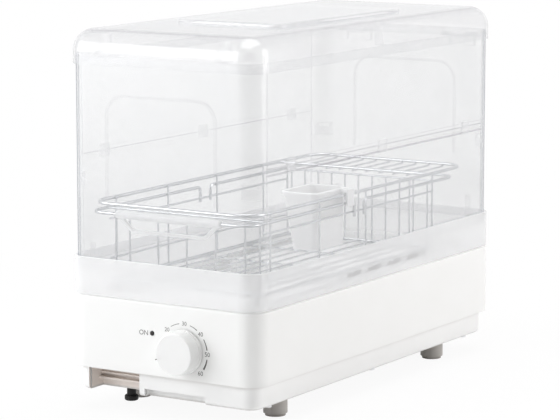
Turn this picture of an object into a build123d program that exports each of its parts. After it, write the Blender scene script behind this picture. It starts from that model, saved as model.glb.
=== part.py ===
from build123d import *
import os

os.makedirs("parts", exist_ok=True)

# Clearances shared by all pieces, in millimetres
seat_gap = 0.3
fit_gap = 0.2
run_gap = 0.05
weld_gap = 0.02
overrun = 5

# White outer shell of the base
base_w = 240
base_d = 520
base_corner_r = 22
shell_t = 2.5
shell_h = 78
rim_edge_r = 3
shell_flange_w = 15
pillar_r = 4.5
pillar_in = 15
pillar_end_in = 45

# Lower pan, set in from the shell
pan_inset = 7.5
pan_h = 26.5
pan_t = 2.5
pan_corner_r = 15
pan_edge_r = 5
pan_flange_t = 2.5
recess_in = 15
recess_w = 65.5
recess_h = 24
recess_depth = 26
ledge_h = 2
ledge_up = 9
ledge_pitch = 5
ledge_depth = 8
slot_gap = 6.5
slot_w = 76.5
slot_h = 9
slot_depth = 10
grille_slot_l = 76
grille_slot_w = 4
grille_pitch = 9
grille_count = 9

# Feet and their rubber pads
foot_in = 33
foot_end_in = 88
foot_r = 13
foot_h = 18
pad_r = 11
pad_h = 3

# Screws that hold the pan to the shell
screw_r = 1.8
screw_l = 16
screw_head_r = 3.6
screw_head_h = 2

# Drip basin and its drain
basin_flange_in = 3.5
basin_flange_t = 2
basin_t = 2.2
basin_depth = 13.5
basin_in = 21
basin_corner_r = 12
drain_in = 51.3
drain_end_in = 45
drain_r = 7
drain_bore_r = 5
plug_r = 7.5
plug_head_h = 6.2
plug_neck_h = 9.3
plug_in = 4.5
plug_edge_r = 2

# Hot-air outlet that stands in the basin
outlet_in = 44
outlet_d = 190
outlet_h = 18.5
outlet_t = 2
outlet_corner_r = 10
outlet_edge_r = 5
vent_l = 30
vent_h = 10
vent_pitch = 45
vent_count = 4
vent_up = 8.5

# Timer, its knob and the lamp
timer_in = 90.4
timer_up = 29.7
timer_w = 42
timer_h = 46
timer_d = 32
bush_r = 5
bush_l = 6.5
nut_flats = 13
nut_t = 2.5
shaft_r = 3
shaft_in = 26
knob_r = 24
knob_face_r = 22.2
knob_skirt_h = 4.2
knob_step = 0.8
knob_h = 18.2
knob_gap = 1
knob_edge_r = 1.6
knob_hollow_r = 16
knob_hollow_depth = 8
knob_hub_r = 6
mark_l = 8
mark_w = 1.2
mark_depth = 0.5
mark_angle = 199
lamp_shift = 39.5
lamp_up = 45.1
lamp_r = 2.6
lamp_proud = 1
lamp_l = 7
lamp_holder_w = 11
lamp_holder_d = 14

# Blower, motor and heater under the basin
fan_end_in = 90
fan_r = 42
fan_h = 26
fan_disc_t = 1.6
fan_hub_r = 8
fan_hub_h = 16
blade_l = 9
blade_t = 1.2
blade_count = 24
housing_r = 50
housing_t = 2
housing_lift = 6.5
housing_h = 34
housing_out_w = 90
housing_inlet_r = 34
housing_front = 52
housing_base_d = 100
leg_r = 4
leg_in = 6
leg_gap = 4
bracket_w = 100
bracket_d = 64
bracket_t = 2
motor_r = 28
motor_h = 34
motor_cap_r = 10
motor_cap_h = 4
motor_shaft_r = 2.5
duct_d = 78
duct_t = 1.5
duct_lift = 8.5
duct_leg_in = 8
rod_r = 3
rod_up = 16
rod_pitch = 14
rod_bend_r = 6.5
rod_half = 34
rod_tail = 8
stat_r = 8
stat_h = 7
stat_up = 30
fuse_r = 2.5
fuse_l = 14
fuse_up = 48

# Intake filter that slides out at the rear
filter_w = 96
filter_d = 130
filter_t = 4
filter_border = 6
filter_lip_h = 6.5
filter_lip_t = 2.5
mesh_t = 0.6
mesh_d = 104
mesh_hole = 6
mesh_pitch = 8

# Cord gland and terminal block
gland_in = 50
gland_up = 22
gland_r = 6
gland_flange_r = 9
gland_flange_t = 2.5
gland_bore_r = 3.6
terminal_w = 30
terminal_d = 14
terminal_h = 12
terminal_gap = 7
terminal_end_in = 32
terminal_screw_r = 2
terminal_pitch = 9

# Lower ring of the hood
ring_h = 40.2
ring_t = 2.2
ring_edge_r = 0.8
ring_ledge_w = 3.4
ring_ledge_t = 2

# Walls of the hood
wall_t = 2
wall_h = 224
wall_drop = 10
return_flat = 2
fold_up = 115.5
panel_step = 1
rib_h = 4
rib_proud = 1.4
arch_in = 52
arch_foot_up = 75
arch_top_up = 183
arch_r = 22
arch_line = 3
arch_proud = 0.8
clip_end_in = 42.5
clip_l = 16
clip_h = 14
clip_proud = 2
latch_in = 22
latch_end_in = 20
latch_h = 16
latch_t = 1.6
latch_up = 93
latch_slot_in = 8
latch_slot_out = 18
latch_slot_h = 3.5
latch_slot_up = 5
peg_w = 6
peg_h = 26
peg_t = 1.8
peg_in = 31

# Lid
lid_t = 2
lid_gap = 0.8
lid_h = 37
lid_overlap = 10
lid_corner_r = 23.5
lid_roll_r = 23
field_in = 52
field_front_in = 129
field_rear_in = 128
field_h = 3.5
field_r = 12
field_edge_r = 2
stop_w = 14
stop_depth = 14
stop_in = 45
stop_y = 8
hinge_in = 50
hinge_up = 0.5
barrel_r = 3.6
lid_barrel_l = 20
wall_barrel_l = 12
hinge_arm_h = 12
pin_r = 1.5

# Wire rack
rim_in = 19
rim_wire_r = 2
rim_front_in = 20
rim_rear_in = 38
rim_up = 96.2
rim_corner_r = 22
grid_front_in = 51
grid_rear_in = 110
grid_wire_r = 1.1
side_wire_r = 1.2
end_wire_r = 1.3
side_count = 4
side_front_in = 10
side_rear_in = 53.5
end_upright_in = 6.4
floor_clear = 1
floor_wire_r = 1.2
floor_weld = 0.3
floor_count = 11
floor_cross_count = 5
rack_leg_r = 2.5
rack_leg_in = 10
low_wire_up = 31.5
mid_wire_up = 74.5
handle_up = 86.5
handle_wire_r = 1.8
handle_front_in = 17
handle_rear_in = 62
handle_front_end = -32
handle_rear_end = -11
handle_drop = 17
handle_corner_r = 16
handle_bend_r = 5
grip_in = 54
grip_r = 4.4
grip_edge_r = 1.6
loop_drop = 16.5
loop_end_in = 2.5
loop_in = 18
loop_r = 12
loop_w = 3.2
shelf_front_in = 124
shelf_wire_r = 1.9
slat_wire_r = 1.2
slat_count = 9
slat_end_in = 29
slat_weld = 0.3

# Cutlery holder hung on the near rim
holder_w = 33
holder_l = 60
holder_top_w = 44.5
holder_top_l = 63
holder_front_in = 191.8
holder_h = 62.3
holder_t = 1.8
holder_corner_r = 8
holder_lip = 2.5
holder_lip_t = 4.5
holder_lip_r = 1.2
holder_clear = 3.6
holder_drain_r = 3
holder_drain_pitch = 12
holder_drain_count = 4
hook_t = 1.8
hook_top_t = 3.7
hook_l = 14
hook_drop = 19
hook_rear_in = 16.5
hook_slot_l = 5
hook_slot_w = 6
hook_slot_depth = 2

# Levels and places that follow from the sizes
pan_z = pad_h + foot_h
pan_top_of_floor = pan_z + pan_t
shell_z = pan_z + pan_h
rim_z = shell_z + shell_h
ring_z = rim_z + seat_gap
ring_top = ring_z + ring_h
wall_z = ring_top - wall_drop
wall_top = wall_z + wall_h
lid_z = wall_top - lid_overlap
lid_top = lid_z + lid_h
hinge_y = base_d / 2 + 2 * fit_gap + barrel_r
hinge_z = lid_z + hinge_up
rear_reach = hinge_y + barrel_r - base_d / 2
knob_reach = knob_gap + knob_h
# The overall box, from knob face to hinge, is centred on the origin
mid_y = (knob_reach - rear_reach) / 2
pan_w = base_w - 2 * pan_inset
pan_d = base_d - 2 * pan_inset
pillar_x = base_w / 2 - pillar_in
pillar_pitch = base_d / 2 - pillar_end_in
pillar_places = [(sx * pillar_x, sy * pillar_pitch) for sx in (-1, 1) for sy in (-1, 0, 1)]
foot_x = base_w / 2 - foot_in
foot_y = base_d / 2 - foot_end_in
drain_x = -base_w / 2 + drain_in
drain_y = -base_d / 2 + drain_end_in
timer_x = base_w / 2 - timer_in
lamp_x = timer_x - lamp_shift
timer_z = shell_z + timer_up
lamp_z = shell_z + lamp_up
shell_front = -base_d / 2
shell_inner_front = shell_front + shell_t
basin_w = base_w - 2 * basin_in
basin_d = base_d - 2 * basin_in
basin_floor = rim_z - basin_depth
basin_under = basin_floor - basin_t
fan_y = base_d / 2 - fan_end_in
leg_x = filter_w / 2 + leg_gap + leg_r
housing_base_w = 2 * (leg_x + leg_in)
leg_y = housing_base_d / 2 - leg_in
housing_z = pan_top_of_floor + housing_lift
housing_top = housing_z + housing_h
motor_z = housing_top + bracket_t
duct_rear = fan_y - housing_front
duct_front = duct_rear - duct_d
duct_mid = (duct_front + duct_rear) / 2
outlet_w = base_w - 2 * outlet_in
outlet_y = duct_mid
duct_z = pan_top_of_floor + duct_lift
duct_inner_w = housing_out_w - 2 * duct_t
filter_rear = pan_d / 2 - fit_gap
filter_z = pan_top_of_floor + seat_gap
gland_x = base_w / 2 - gland_in
gland_z = shell_z + gland_up
terminal_x = filter_w / 2 + terminal_gap + terminal_w / 2
terminal_y = base_d / 2 - terminal_end_in
wall_w = base_w - 2 * (lid_t + lid_gap)
wall_d = base_d - 2 * (lid_t + lid_gap)
wall_corner_r = lid_corner_r - lid_t - lid_gap
end_return = wall_corner_r + return_flat
panel_half_l = wall_d / 2 - end_return - fit_gap
clip_y = panel_half_l - clip_end_in
arch_half_w = base_w / 2 - arch_in
peg_x = base_w / 2 - peg_in
fold_z = wall_z + fold_up
upper_face = wall_w / 2
lower_face = upper_face - panel_step
field_w = base_w - 2 * field_in
field_d = base_d - field_front_in - field_rear_in
field_y = (field_front_in - field_rear_in) / 2
stop_x = base_w / 2 - stop_in
hinge_x = base_w / 2 - hinge_in
rim_front = -base_d / 2 + rim_front_in
rim_rear = base_d / 2 - rim_rear_in
grid_front = -base_d / 2 + grid_front_in
grid_rear = base_d / 2 - grid_rear_in
handle_front = -base_d / 2 + handle_front_in
handle_rear = base_d / 2 - handle_rear_in
shelf_front = base_d / 2 - shelf_front_in
holder_y = -base_d / 2 + holder_front_in
grip_l = base_w - 2 * grip_in
loop_half = grip_l / 2 - loop_end_in
rack_rim_z = rim_z + rim_up
rim_x = base_w / 2 - rim_in
grid_x = rim_x - rim_wire_r - grid_wire_r - weld_gap
cross_z = basin_floor + outlet_h + floor_clear + floor_wire_r
floor_z = cross_z + 2 * floor_wire_r - floor_weld
side_floor_z = cross_z + floor_wire_r + side_wire_r + weld_gap
end_floor_z = cross_z + floor_wire_r + end_wire_r + weld_gap
low_wire_z = rim_z + low_wire_up
mid_wire_z = rim_z + mid_wire_up
grid_top_z = rack_rim_z + grid_wire_r
handle_z = rim_z + handle_up
handle_x = grid_x + side_wire_r + handle_wire_r + weld_gap
grid_end_x = grid_x - side_wire_r - weld_gap
end_half = grid_x - end_upright_in
rack_leg_x = grid_x - rack_leg_in


def level(z):
    return Plane(origin=(0, mid_y, z))


def facing(y):
    return Plane(origin=(0, mid_y + y, 0), x_dir=(1, 0, 0), z_dir=(0, -1, 0))


def beside(x):
    return Plane(origin=(x, mid_y, 0), x_dir=(0, 1, 0), z_dir=(1, 0, 0))


def block(x, y, z, mode=Mode.ADD):
    with BuildSketch(level(z[0])) as outline:
        with Locations(((x[0] + x[1]) / 2, (y[0] + y[1]) / 2)):
            Rectangle(x[1] - x[0], y[1] - y[0])
    extrude(outline.sketch, amount=z[1] - z[0], mode=mode)


def rods_x(span, places, radius, mode=Mode.ADD):
    with BuildSketch(beside(span[0])) as outline:
        with Locations(*places):
            Circle(radius)
    extrude(outline.sketch, amount=span[1] - span[0], mode=mode)


def rods_y(span, places, radius, mode=Mode.ADD):
    with BuildSketch(facing(span[1])) as outline:
        with Locations(*places):
            Circle(radius)
    extrude(outline.sketch, amount=span[1] - span[0], mode=mode)


def rods_z(span, places, radius, mode=Mode.ADD):
    with BuildSketch(level(span[0])) as outline:
        with Locations(*places):
            Circle(radius)
    extrude(outline.sketch, amount=span[1] - span[0], mode=mode)


def bent_rod(points, bend_radii, radius, closed=False):
    with BuildLine(level(0)) as path:
        FilletPolyline(*points, radius=bend_radii, close=closed)
    with BuildSketch(Plane(origin=path.line @ 0, z_dir=path.line % 0)) as outline:
        Circle(radius)
    sweep(outline.sketch, path=path.line)


def evenly(first, last, count):
    step = (last - first) / (count - 1)
    return [first + step * i for i in range(count)]


def save(piece, name):
    piece.part.label = name
    export_step(piece.part, f"parts/{name}.step")


# Outer shell: four walls under a flange that carries the basin, with screw pillars inside
with BuildPart() as base_shell:
    with BuildSketch(level(shell_z)):
        RectangleRounded(base_w, base_d, base_corner_r)
    extrude(amount=shell_h)
    fillet(base_shell.edges().group_by(Axis.Z)[-1], radius=rim_edge_r)
    with BuildSketch(level(shell_z)):
        RectangleRounded(base_w - 2 * shell_t, base_d - 2 * shell_t, base_corner_r - shell_t)
    extrude(amount=shell_h - shell_t, mode=Mode.SUBTRACT)
    with BuildSketch(level(rim_z - shell_t)):
        RectangleRounded(
            base_w - 2 * shell_flange_w, base_d - 2 * shell_flange_w, base_corner_r - shell_flange_w
        )
    extrude(amount=shell_t + overrun, mode=Mode.SUBTRACT)
    rods_z((pan_top_of_floor, rim_z - shell_t), pillar_places, pillar_r)
    rods_z((pan_top_of_floor, pan_z + screw_l), pillar_places, screw_r, Mode.SUBTRACT)
    wall_cut = (shell_front - overrun, shell_inner_front)
    rods_y(wall_cut, [(timer_x, timer_z)], bush_r + fit_gap, Mode.SUBTRACT)
    rods_y(wall_cut, [(lamp_x, lamp_z)], lamp_r + fit_gap, Mode.SUBTRACT)
    gland_cut = (base_d / 2 - shell_t, base_d / 2 + overrun)
    rods_y(gland_cut, [(gland_x, gland_z)], gland_r, Mode.SUBTRACT)
save(base_shell, "base_shell")

# Lower pan: a tray with a flange inside the shell, a drain recess and a finger slot in its front
recess_span = (-pan_w / 2 + recess_in, -pan_w / 2 + recess_in + recess_w)
recess_back = -pan_d / 2 + recess_depth
recess_top = pan_z + recess_h
slot_span = (recess_span[1] + slot_gap, recess_span[1] + slot_gap + slot_w)
slot_back = -pan_d / 2 + slot_depth
slot_top = pan_z + slot_h
with BuildPart() as bottom_pan:
    with BuildSketch(level(pan_z)):
        RectangleRounded(pan_w, pan_d, pan_corner_r)
    extrude(amount=pan_h + pan_flange_t)
    fillet(bottom_pan.edges().group_by(Axis.Z)[0], radius=pan_edge_r)
    with BuildSketch(level(shell_z)):
        RectangleRounded(
            base_w - 2 * (shell_t + fit_gap),
            base_d - 2 * (shell_t + fit_gap),
            base_corner_r - shell_t - fit_gap,
        )
    extrude(amount=pan_flange_t)
    with BuildSketch(level(pan_top_of_floor)):
        RectangleRounded(pan_w - 2 * pan_t, pan_d - 2 * pan_t, pan_corner_r - pan_t)
    extrude(amount=pan_h + overrun, mode=Mode.SUBTRACT)
    block(
        (recess_span[0] - pan_t, recess_span[1] + pan_t),
        (-pan_d / 2 + pan_edge_r, recess_back + pan_t),
        (pan_z, recess_top + pan_t),
    )
    block(
        (slot_span[0] - pan_t, slot_span[1] + pan_t),
        (-pan_d / 2 + pan_edge_r, slot_back + pan_t),
        (pan_z, slot_top + pan_t),
    )
    front_cut = -pan_d / 2 - overrun
    block(recess_span, (front_cut, recess_back), (pan_z - overrun, recess_top), Mode.SUBTRACT)
    block(slot_span, (front_cut, slot_back), (pan_z - overrun, slot_top), Mode.SUBTRACT)
    for step, depth in enumerate((ledge_depth, ledge_depth / 2)):
        ledge_z = pan_z + ledge_up + step * ledge_pitch
        block(recess_span, (recess_back - depth, recess_back), (ledge_z, ledge_z + ledge_h))
    floor_cut = (pan_z - overrun, pan_top_of_floor)
    rods_z(floor_cut, pillar_places, screw_r + fit_gap, Mode.SUBTRACT)
    rods_z(floor_cut, [(drain_x, drain_y)], drain_r + fit_gap, Mode.SUBTRACT)
    with BuildSketch(level(pan_z)):
        with Locations((0, fan_y)):
            with GridLocations(0, grille_pitch, 1, grille_count):
                SlotOverall(grille_slot_l, grille_slot_w)
    extrude(amount=pan_t, mode=Mode.SUBTRACT)
    block(
        (-filter_w / 2 - seat_gap, filter_w / 2 + seat_gap),
        (pan_d / 2 - pan_t, pan_d / 2 + overrun),
        (pan_top_of_floor, filter_z + filter_lip_h + seat_gap),
        Mode.SUBTRACT,
    )
save(bottom_pan, "bottom_pan")

# Four round feet with rubber pads
foot_places = [(sx * foot_x, sy * foot_y) for sx in (-1, 1) for sy in (-1, 1)]
with BuildPart() as feet:
    rods_z((pad_h, pan_z), foot_places, foot_r)
save(feet, "feet")

with BuildPart() as foot_pads:
    rods_z((0, pad_h), foot_places, pad_r)
save(foot_pads, "foot_pads")

# Screws driven up through the pan into the shell's pillars
with BuildPart() as base_screws:
    rods_z((pan_z, pan_z + screw_l), pillar_places, screw_r)
    rods_z((pan_z - screw_head_h, pan_z), pillar_places, screw_head_r)
save(base_screws, "base_screws")

# Drip basin: a shallow tray hung by its flange on the shell, open to the drain and the air duct
with BuildPart() as drip_basin:
    with BuildSketch(level(rim_z)):
        RectangleRounded(
            base_w - 2 * basin_flange_in, base_d - 2 * basin_flange_in, base_corner_r - basin_flange_in
        )
    extrude(amount=basin_flange_t)
    with BuildSketch(level(basin_under)):
        RectangleRounded(basin_w, basin_d, basin_corner_r)
    extrude(amount=rim_z - basin_under)
    with BuildSketch(level(basin_floor)):
        RectangleRounded(basin_w - 2 * basin_t, basin_d - 2 * basin_t, basin_corner_r - basin_t)
    extrude(amount=basin_depth + basin_flange_t + overrun, mode=Mode.SUBTRACT)
    rods_z((basin_under, basin_floor), [(drain_x, drain_y)], drain_bore_r, Mode.SUBTRACT)
    block(
        (-duct_inner_w / 2, duct_inner_w / 2),
        (duct_front + duct_t, duct_rear - duct_t),
        (basin_under, basin_floor),
        Mode.SUBTRACT,
    )
save(drip_basin, "drip_basin")

# Hot-air outlet: a hood over the duct with a row of vents along each long side
with BuildPart() as air_outlet:
    with BuildSketch(level(basin_floor)):
        with Locations((0, outlet_y)):
            RectangleRounded(outlet_w, outlet_d, outlet_corner_r)
    extrude(amount=outlet_h)
    fillet(air_outlet.edges().group_by(Axis.Z)[-1], radius=outlet_edge_r)
    with BuildSketch(level(basin_floor)):
        with Locations((0, outlet_y)):
            RectangleRounded(
                outlet_w - 2 * outlet_t, outlet_d - 2 * outlet_t, outlet_corner_r - outlet_t
            )
    extrude(amount=outlet_h - outlet_t, mode=Mode.SUBTRACT)
    with BuildSketch(beside(-outlet_w / 2)):
        with Locations((outlet_y, basin_floor + vent_up)):
            with GridLocations(vent_pitch, 0, vent_count, 1):
                Rectangle(vent_l, vent_h)
    extrude(amount=outlet_w, mode=Mode.SUBTRACT)
save(air_outlet, "air_outlet")

# Drain pipe from the basin down to the pan, closed below by a rubber plug
with BuildPart() as drain_pipe:
    rods_z((pan_z, basin_under), [(drain_x, drain_y)], drain_r)
    rods_z((pan_z, basin_under), [(drain_x, drain_y)], drain_bore_r, Mode.SUBTRACT)
save(drain_pipe, "drain_pipe")

plug_top_of_head = pan_z - plug_neck_h
with BuildPart() as drain_plug:
    rods_z((plug_top_of_head - plug_head_h, plug_top_of_head), [(drain_x, drain_y)], plug_r)
    fillet(drain_plug.edges(), radius=plug_edge_r)
    rods_z((plug_top_of_head, pan_z + plug_in), [(drain_x, drain_y)], drain_bore_r - 2 * run_gap)
save(drain_plug, "drain_plug")

# Timer behind the front wall, with a threaded bush through it and a nut outside
bush_front = shell_inner_front - bush_l
with BuildPart() as timer_body:
    block(
        (timer_x - timer_w / 2, timer_x + timer_w / 2),
        (shell_inner_front, shell_inner_front + timer_d),
        (timer_z - timer_h / 2, timer_z + timer_h / 2),
    )
    rods_y((bush_front, shell_inner_front), [(timer_x, timer_z)], bush_r)
    shaft_cut = (bush_front, shell_inner_front + shaft_in)
    rods_y(shaft_cut, [(timer_x, timer_z)], shaft_r + run_gap, Mode.SUBTRACT)
save(timer_body, "timer_body")

with BuildPart() as timer_nut:
    with BuildSketch(facing(shell_front)):
        with Locations((timer_x, timer_z)):
            RegularPolygon(nut_flats / 2, 6, major_radius=False)
            Circle(bush_r + weld_gap, mode=Mode.SUBTRACT)
    extrude(amount=nut_t)
save(timer_nut, "timer_nut")

# Timer knob: a smooth cap over a slightly wider skirt, hollow behind round a hub on the shaft
knob_back = shell_front - knob_gap
knob_face = knob_back - knob_h
with BuildPart() as timer_knob:
    with BuildSketch(facing(knob_back)):
        with Locations((timer_x, timer_z)):
            Circle(knob_r)
    extrude(amount=knob_skirt_h)
    with BuildSketch(facing(knob_back - knob_skirt_h)):
        with Locations((timer_x, timer_z)):
            Circle(knob_r - knob_step)
    with BuildSketch(facing(knob_face)):
        with Locations((timer_x, timer_z)):
            Circle(knob_face_r)
    loft()
    fillet(timer_knob.faces().sort_by(Axis.Y)[0].edges(), radius=knob_edge_r)
    with BuildSketch(facing(knob_back)):
        with Locations((timer_x, timer_z)):
            Circle(knob_hollow_r)
            Circle(knob_hub_r, mode=Mode.SUBTRACT)
    extrude(amount=knob_hollow_depth, mode=Mode.SUBTRACT)
    hub_gap = bush_l - shell_t - knob_gap + seat_gap
    rods_y((knob_back - hub_gap, knob_back), [(timer_x, timer_z)], knob_hub_r, Mode.SUBTRACT)
    shaft_front = knob_face + knob_edge_r + knob_step
    rods_y((shaft_front, knob_back), [(timer_x, timer_z)], shaft_r + weld_gap, Mode.SUBTRACT)
    with BuildSketch(facing(knob_face)):
        with Locations((timer_x, timer_z)):
            with PolarLocations(knob_face_r - knob_edge_r - mark_l / 2, 1, mark_angle):
                SlotOverall(mark_l, mark_w)
    extrude(amount=-mark_depth, mode=Mode.SUBTRACT)
save(timer_knob, "timer_knob")

with BuildPart() as timer_shaft:
    rods_y((shaft_front, shell_inner_front + shaft_in - seat_gap), [(timer_x, timer_z)], shaft_r)
save(timer_shaft, "timer_shaft")

# Lamp: a small lens through the front wall, held by a block behind it
with BuildPart() as lamp_lens:
    rods_y((shell_front - lamp_proud, shell_front - lamp_proud + lamp_l), [(lamp_x, lamp_z)], lamp_r)
    fillet(lamp_lens.faces().sort_by(Axis.Y)[0].edges(), radius=lamp_proud)
save(lamp_lens, "lamp_lens")

with BuildPart() as lamp_holder:
    block(
        (lamp_x - lamp_holder_w / 2, lamp_x + lamp_holder_w / 2),
        (shell_inner_front, shell_inner_front + lamp_holder_d),
        (lamp_z - lamp_holder_w / 2, lamp_z + lamp_holder_w / 2),
    )
    lens_seat = (shell_inner_front, shell_front - lamp_proud + lamp_l)
    rods_y(lens_seat, [(lamp_x, lamp_z)], lamp_r + weld_gap, Mode.SUBTRACT)
save(lamp_holder, "lamp_holder")

# Blower housing: a drum with an inlet below and a mouth towards the heater, on four legs
with BuildPart() as fan_housing:
    with BuildSketch(level(housing_z)):
        with Locations((0, fan_y)):
            Circle(housing_r)
        with Locations((0, (fan_y + duct_rear) / 2)):
            Rectangle(housing_out_w, housing_front)
    extrude(amount=housing_h)
    with BuildSketch(level(housing_z + housing_t)):
        with Locations((0, fan_y)):
            Circle(housing_r - housing_t)
        with Locations((0, (fan_y + duct_rear) / 2)):
            Rectangle(housing_out_w - 2 * housing_t, housing_front)
    extrude(amount=housing_h - 2 * housing_t, mode=Mode.SUBTRACT)
    with BuildSketch(level(housing_z)):
        with Locations((0, fan_y)):
            Rectangle(housing_base_w, housing_base_d)
    extrude(amount=housing_t)
    rods_z((housing_z, housing_z + housing_t), [(0, fan_y)], housing_inlet_r, Mode.SUBTRACT)
    rods_z((housing_top - housing_t, housing_top), [(0, fan_y)], fan_hub_r, Mode.SUBTRACT)
    leg_places = [(sx * leg_x, fan_y + sy * leg_y) for sx in (-1, 1) for sy in (-1, 1)]
    rods_z((pan_top_of_floor, housing_z), leg_places, leg_r)
save(fan_housing, "fan_housing")

# Blower wheel: a ring of blades under a disc with a hub on the motor's shaft
fan_z = housing_z + (housing_h - fan_h) / 2
fan_top = fan_z + fan_h
with BuildPart() as fan_wheel:
    rods_z((fan_top - fan_disc_t, fan_top), [(0, fan_y)], fan_r)
    rods_z((fan_top - fan_hub_h, fan_top), [(0, fan_y)], fan_hub_r)
    with BuildSketch(level(fan_z)):
        with Locations((0, fan_y)):
            with PolarLocations(fan_r - blade_l / 2 - fan_disc_t / 2, blade_count):
                Rectangle(blade_l, blade_t)
    extrude(amount=fan_h)
    with BuildSketch(level(fan_z)):
        with Locations((0, fan_y)):
            Circle(fan_r)
            Circle(fan_r - blade_l / 2, mode=Mode.SUBTRACT)
    extrude(amount=fan_disc_t)
    rods_z((fan_top - fan_hub_h, fan_top), [(0, fan_y)], motor_shaft_r + weld_gap, Mode.SUBTRACT)
save(fan_wheel, "fan_wheel")

# Motor on a bracket above the blower, with its shaft down into the wheel
with BuildPart() as motor_bracket:
    with BuildSketch(level(housing_top)):
        with Locations((0, fan_y)):
            Rectangle(bracket_w, bracket_d)
            Circle(motor_cap_r, mode=Mode.SUBTRACT)
    extrude(amount=bracket_t)
save(motor_bracket, "motor_bracket")

with BuildPart() as motor_body:
    rods_z((motor_z, motor_z + motor_h), [(0, fan_y)], motor_r)
    rods_z((motor_z + motor_h, motor_z + motor_h + motor_cap_h), [(0, fan_y)], motor_cap_r)
    rods_z((motor_z, motor_z + motor_h), [(0, fan_y)], motor_shaft_r + run_gap, Mode.SUBTRACT)
save(motor_body, "motor_body")

with BuildPart() as motor_shaft:
    rods_z((fan_top - fan_hub_h, motor_z + motor_h - seat_gap), [(0, fan_y)], motor_shaft_r)
save(motor_shaft, "motor_shaft")

# Heater duct: a sheet-metal box from the blower's mouth up to the basin, on four legs
rod_z = duct_z + rod_up
rod_rows = [duct_mid + rod_pitch * (i - 1.5) for i in range(4)]
with BuildPart() as heater_duct:
    block((-housing_out_w / 2, housing_out_w / 2), (duct_front, duct_rear), (duct_z, basin_under))
    block(
        (-duct_inner_w / 2, duct_inner_w / 2),
        (duct_front + duct_t, duct_rear - duct_t),
        (duct_z + duct_t, basin_under),
        Mode.SUBTRACT,
    )
    block(
        (-housing_out_w / 2 + housing_t, housing_out_w / 2 - housing_t),
        (duct_rear - duct_t, duct_rear),
        (housing_z + 2 * housing_t, housing_top - housing_t),
        Mode.SUBTRACT,
    )
    rod_ends = [(rod_rows[0], rod_z), (rod_rows[-1], rod_z)]
    rods_x((duct_inner_w / 2, housing_out_w / 2), rod_ends, rod_r + weld_gap, Mode.SUBTRACT)
    duct_leg_places = [
        (sx * (housing_out_w / 2 - duct_leg_in), y)
        for sx in (-1, 1)
        for y in (duct_front + duct_leg_in, duct_rear - duct_leg_in)
    ]
    rods_z((pan_top_of_floor, duct_z), duct_leg_places, leg_r)
save(heater_duct, "heater_duct")

# Heater rod: one tube bent to and fro across the duct, with both tails through its wall
with BuildPart() as heater_rod:
    tail_x = housing_out_w / 2 + rod_tail
    bent_rod(
        [
            (tail_x, rod_rows[0], rod_z),
            (-rod_half, rod_rows[0], rod_z),
            (-rod_half, rod_rows[1], rod_z),
            (rod_half, rod_rows[1], rod_z),
            (rod_half, rod_rows[2], rod_z),
            (-rod_half, rod_rows[2], rod_z),
            (-rod_half, rod_rows[3], rod_z),
            (tail_x, rod_rows[3], rod_z),
        ],
        rod_bend_r,
        rod_r,
    )
save(heater_rod, "heater_rod")

# Thermostat and thermal fuse on the duct's far side
duct_side = -housing_out_w / 2
with BuildPart() as thermostat:
    rods_x((duct_side - stat_h, duct_side), [(duct_mid, duct_z + stat_up)], stat_r)
save(thermostat, "thermostat")

with BuildPart() as thermal_fuse:
    fuse_span = (duct_mid - fuse_l / 2, duct_mid + fuse_l / 2)
    rods_y(fuse_span, [(duct_side - fuse_r - weld_gap, duct_z + fuse_up)], fuse_r)
save(thermal_fuse, "thermal_fuse")

# Intake filter: a frame with a rear lip to pull, and a square-holed mesh in its window
filter_front = filter_rear - filter_d
mesh_span = (filter_front + filter_border, filter_front + filter_border + mesh_d)
mesh_half_w = filter_w / 2 - filter_border
mesh_mid_z = filter_z + filter_t / 2
with BuildPart() as filter_frame:
    block((-filter_w / 2, filter_w / 2), (filter_front, filter_rear), (filter_z, filter_z + filter_t))
    block(
        (-filter_w / 2, filter_w / 2),
        (filter_rear - filter_lip_t, filter_rear),
        (filter_z, filter_z + filter_lip_h),
    )
    block((-mesh_half_w, mesh_half_w), mesh_span, (filter_z, filter_z + filter_t), Mode.SUBTRACT)
save(filter_frame, "filter_frame")

with BuildPart() as filter_mesh:
    with BuildSketch(level(mesh_mid_z)):
        with Locations((0, (mesh_span[0] + mesh_span[1]) / 2)):
            Rectangle(2 * mesh_half_w, mesh_d)
            holes_x = int((2 * mesh_half_w - filter_border) // mesh_pitch)
            holes_y = int((mesh_d - filter_border) // mesh_pitch)
            with GridLocations(mesh_pitch, mesh_pitch, holes_x, holes_y):
                Rectangle(mesh_hole, mesh_hole, mode=Mode.SUBTRACT)
    extrude(amount=mesh_t)
save(filter_mesh, "filter_mesh")

# Cord gland: a rubber bush with a flange each side of the rear wall
shell_rear = base_d / 2
with BuildPart() as cord_gland:
    rods_y((shell_rear, shell_rear + gland_flange_t), [(gland_x, gland_z)], gland_flange_r)
    fillet(cord_gland.faces().sort_by(Axis.Y)[-1].edges(), radius=gland_flange_t / 2)
    rods_y((shell_rear - shell_t, shell_rear), [(gland_x, gland_z)], gland_r)
    inner_flange = (shell_rear - shell_t - gland_flange_t, shell_rear - shell_t)
    rods_y(inner_flange, [(gland_x, gland_z)], gland_flange_r)
    gland_span = (inner_flange[0], shell_rear + gland_flange_t)
    rods_y(gland_span, [(gland_x, gland_z)], gland_bore_r, Mode.SUBTRACT)
save(cord_gland, "cord_gland")

with BuildPart() as terminal_block:
    block(
        (terminal_x - terminal_w / 2, terminal_x + terminal_w / 2),
        (terminal_y - terminal_d / 2, terminal_y + terminal_d / 2),
        (pan_top_of_floor, pan_top_of_floor + terminal_h),
    )
    with BuildSketch(level(pan_top_of_floor + terminal_h)):
        with Locations((terminal_x, terminal_y)):
            with GridLocations(terminal_pitch, 0, 3, 1):
                Circle(terminal_screw_r)
    extrude(amount=-terminal_h / 2, mode=Mode.SUBTRACT)
save(terminal_block, "terminal_block")

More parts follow.
